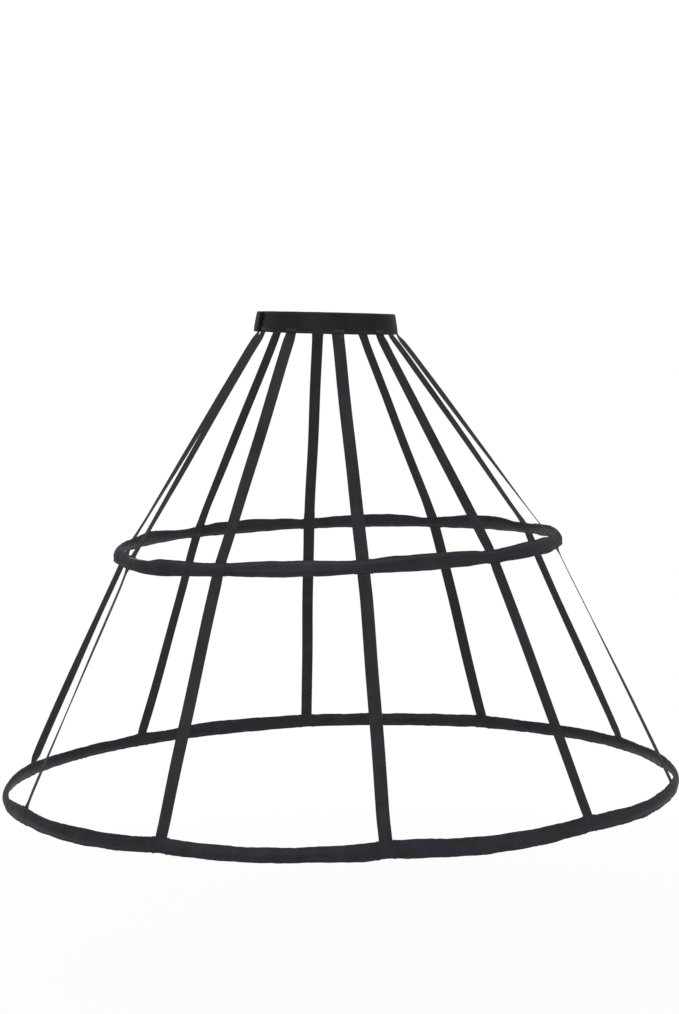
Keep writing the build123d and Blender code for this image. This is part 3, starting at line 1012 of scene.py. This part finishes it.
def add_camera():
    """The photo's own camera, worked out from the hoops and the waistband in it."""
    lens = bpy.data.cameras.new("camera")
    lens.sensor_width = SENSOR
    lens.sensor_fit = "AUTO"
    lens.lens = FOCAL_LENGTH / PHOTO_HEIGHT * SENSOR
    lens.clip_end = 60
    camera = bpy.data.objects.new("camera", lens)
    camera.matrix_world = (
        Matrix.Rotation(np.radians(CAMERA_BEARING), 4, "Z")
        @ Matrix.Translation(CAMERA_PLACE)
        @ Matrix.Rotation(np.radians(90 - CAMERA_DOWN), 4, "X")
        @ Matrix.Rotation(np.radians(CAMERA_ROLL), 4, "Z")
    )
    bpy.context.scene.collection.objects.link(camera)
    bpy.context.scene.camera = camera


def make_floor():
    """A wide disc that keeps a pale shadow below the cage.

    Rays from the camera and through glass see it four fifths white there, and all white further out. The rest
    see it lit.
    """
    finish = new_finish("floor")
    lit = finish.add("ShaderNodeBsdfDiffuse", {}, {"Color": FLOOR_COLOUR})
    white = finish.add("ShaderNodeEmission", {}, {"Color": WHITE, "Strength": 1.0})
    reach = finish.add("ShaderNodeVectorMath", {"operation": "LENGTH"}, {0: finish.object_place()}, "Value")
    far = 0.8 + 0.2 * finish.step(reach, 1.1, 1.9)
    camera_ray = finish.add("ShaderNodeLightPath", {}, {}, "Is Camera Ray")
    glass_ray = finish.add("ShaderNodeLightPath", {}, {}, "Is Transmission Ray")
    unlit = finish.math("MAXIMUM", camera_ray, glass_ray)
    end = finish.add("ShaderNodeMixShader", {}, {0: far * unlit, 1: lit, 2: white})
    finish.add("ShaderNodeOutputMaterial", {}, {"Surface": end})
    turn = np.linspace(0, FULL_TURN, FLOOR_SIDES, endpoint=False)
    x = np.concatenate([[0], (FLOOR_RINGS[:, None] * np.cos(turn)).ravel()])
    y = np.concatenate([[0], (FLOOR_RINGS[:, None] * np.sin(turn)).ravel()])
    points = np.stack([x, y, np.full(len(x), FLOOR_HEIGHT)], axis=-1)
    k = np.arange(FLOOR_SIDES)
    k2 = (k + 1) % FLOOR_SIDES
    faces = np.stack([np.zeros(FLOOR_SIDES, int), 1 + k, 1 + k2], axis=-1).tolist()
    for first in (1, 1 + FLOOR_SIDES):
        second = first + FLOOR_SIDES
        faces += np.stack([first + k, second + k, second + k2, first + k2], axis=-1).tolist()
    mesh = bpy.data.meshes.new("floor")
    mesh.from_pydata(points.tolist(), [], faces)
    mesh.materials.append(finish.owner)
    floor = bpy.data.objects.new("floor", mesh)
    bpy.context.scene.collection.objects.link(floor)


def make_world():
    """White towards the camera, and an even pale grey light on the cage."""
    world = bpy.data.worlds.new("studio")
    bpy.context.scene.world = world
    room = Finish(world)
    camera_ray = room.add("ShaderNodeLightPath", {}, {}, "Is Camera Ray")
    around = room.add("ShaderNodeBackground", {}, {"Color": ROOM_COLOUR})
    seen = room.add("ShaderNodeBackground", {}, {"Color": WHITE})
    blend = room.add("ShaderNodeMixShader", {}, {0: camera_ray, 1: around, 2: seen})
    room.add("ShaderNodeOutputWorld", {}, {"Surface": blend})


def add_light(name, size, watts, place):
    """Square soft light facing the middle of the cage."""
    light = bpy.data.lights.new(name, "AREA")
    light.size = size
    light.energy = watts
    lamp = bpy.data.objects.new(name, light)
    back = unit(np.array(place) - CAGE_MIDDLE)
    right = unit(np.cross([0, 0, 1.0], back))
    turned = np.eye(4)
    turned[:3] = np.stack([right, np.cross(back, right), back, place], axis=-1)
    lamp.matrix_world = Matrix(turned.tolist())
    bpy.context.scene.collection.objects.link(lamp)


add_camera()
make_floor()
make_world()
# The camera stands at -X, so its left is +Y.
add_light("key", size=2.6, watts=80, place=(-3.0, 2.2, 1.6))
add_light("fill", size=3.0, watts=40, place=(-2.6, -2.8, 0.6))
add_light("top", size=2.4, watts=45, place=(0.3, 0.2, 3.0))

bpy.context.scene.view_settings.view_transform = "Standard"
